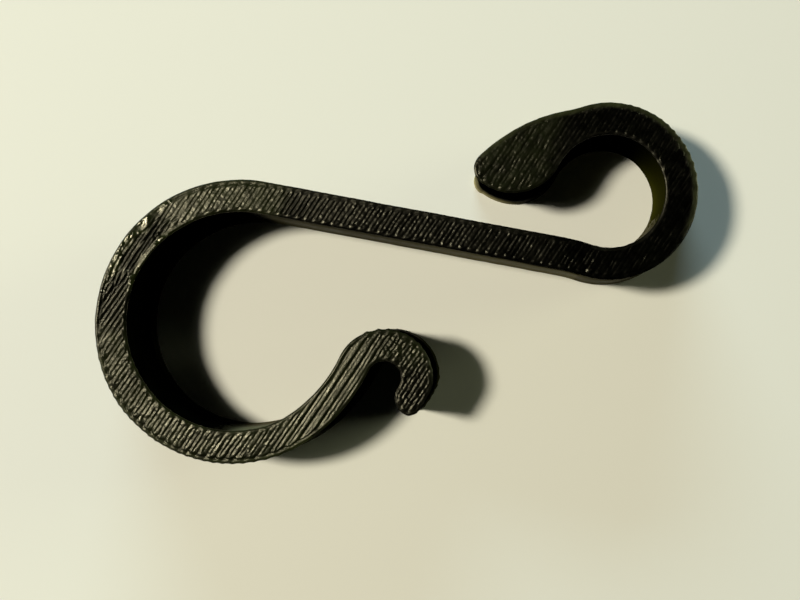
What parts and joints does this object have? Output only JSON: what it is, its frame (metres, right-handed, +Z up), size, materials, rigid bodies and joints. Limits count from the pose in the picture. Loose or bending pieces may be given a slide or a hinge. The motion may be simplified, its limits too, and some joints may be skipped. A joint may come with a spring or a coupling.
{
  "type": "s hook",
  "caption": "Flat S-shaped hook: a large rod loop with a curled lip, a straight shank, and a small ring loop ending in a leaf-shaped tip.",
  "frame": {"origin": "centre of the bounding box, on the underside that the hook lies on", "axes": "+X along the shank from the rod loop to the ring loop, +Y across it towards the ring loop's side, +Z up through the strip's height"},
  "size_m": [0.0568, 0.0424, 0.006],
  "materials": {
    "plastic": "glossy black plastic laid in fine printed lines"
  },
  "bodies": {
    "root": {"s_hook": "plastic"}
  },
  "joints": []
}
